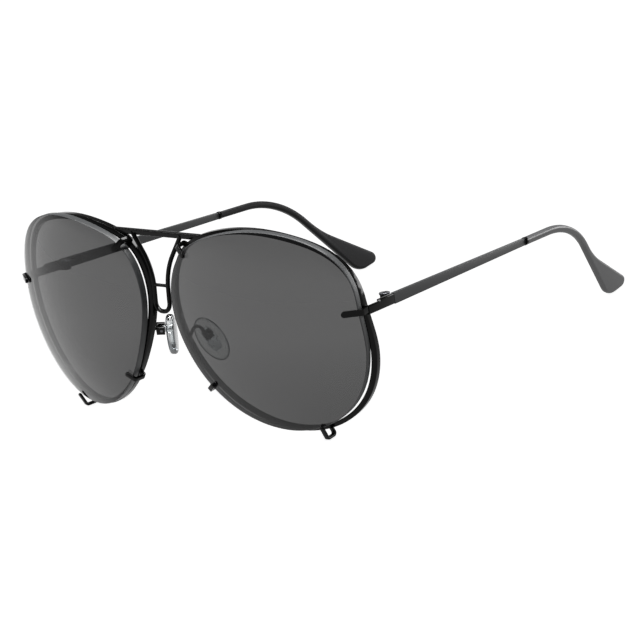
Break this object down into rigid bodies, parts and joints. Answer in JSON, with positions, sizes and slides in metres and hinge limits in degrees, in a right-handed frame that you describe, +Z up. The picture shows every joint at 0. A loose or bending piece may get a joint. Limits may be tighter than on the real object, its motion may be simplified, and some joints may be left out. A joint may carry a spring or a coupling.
{
  "type": "oversized sunglasses",
  "caption": "Oversized sunglasses with large tinted lenses clipped in front of wire rims, a flat brow bar, a keyhole wire bridge, folding temples and rocking nose pads.",
  "frame": {"origin": "on the surface that the open glasses rest on, in the mirror plane, level with the lens vertices", "axes": "+X to the wearer's left, +Y back along the temples, +Z up"},
  "size_m": [0.1452, 0.1423, 0.063],
  "materials": {
    "black_metal": "semi-gloss black coating on wire and strip",
    "lens_tint": "polished grey tinted sun lens",
    "tip_plastic": "satin black moulded tip",
    "pad_silicone": "clear soft pad",
    "pad_core_plastic": "clear stiff insert",
    "screw_steel": "blackened steel screw"
  },
  "bodies": {
    "front": {"brow_bar": "black_metal", "bridge_loop": "black_metal", "bridge_crossbar": "black_metal", "lens_left": "lens_tint", "lens_right": "lens_tint", "rim_left": "black_metal", "rim_right": "black_metal", "upper_prong_left": "black_metal", "upper_prong_right": "black_metal", "lower_prong_left": "black_metal", "lower_prong_right": "black_metal", "lens_hook_left": "black_metal", "lens_hook_right": "black_metal", "end_piece_left": "black_metal", "end_piece_right": "black_metal", "front_hinge_leaf_left": "black_metal", "front_hinge_leaf_right": "black_metal", "hinge_screw_left": "screw_steel", "hinge_screw_right": "screw_steel", "pad_arm_left": "black_metal", "pad_arm_right": "black_metal", "pad_box_left": "black_metal", "pad_box_right": "black_metal", "pad_screw_left": "screw_steel", "pad_screw_right": "screw_steel"},
    "temple_left": {"temple_bar_left": "black_metal", "temple_hinge_leaf_left": "black_metal", "temple_tip_left": "tip_plastic", "tip_collar_left": "black_metal"},
    "temple_right": {"temple_bar_right": "black_metal", "temple_hinge_leaf_right": "black_metal", "temple_tip_right": "tip_plastic", "tip_collar_right": "black_metal"},
    "nose_pad_left": {"nose_pad_left": "pad_silicone", "pad_core_left": "pad_core_plastic"},
    "nose_pad_right": {"nose_pad_right": "pad_silicone", "pad_core_right": "pad_core_plastic"}
  },
  "joints": [
    {"name": "temple_left_fold", "type": "hinge", "parent": "front", "child": "temple_left", "pos_m": [0.06798, 0.02651, 0.03813], "axis": [-0.0071, 0.0776, 0.997], "range_deg": [0, 86]},
    {"name": "temple_right_fold", "type": "hinge", "parent": "front", "child": "temple_right", "pos_m": [-0.06798, 0.02651, 0.03813], "axis": [-0.0071, -0.0776, -0.997], "range_deg": [0, 80]},
    {"name": "nose_pad_left_rock", "type": "hinge", "parent": "front", "child": "nose_pad_left", "pos_m": [0.0098, 0.00969, 0.02851], "axis": [0.539, 0.7405, 0.4015], "range_deg": [-8, 8]},
    {"name": "nose_pad_right_rock", "type": "hinge", "parent": "front", "child": "nose_pad_right", "pos_m": [-0.0098, 0.00969, 0.02851], "axis": [0.539, -0.7405, -0.4015], "range_deg": [-8, 8]}
  ]
}
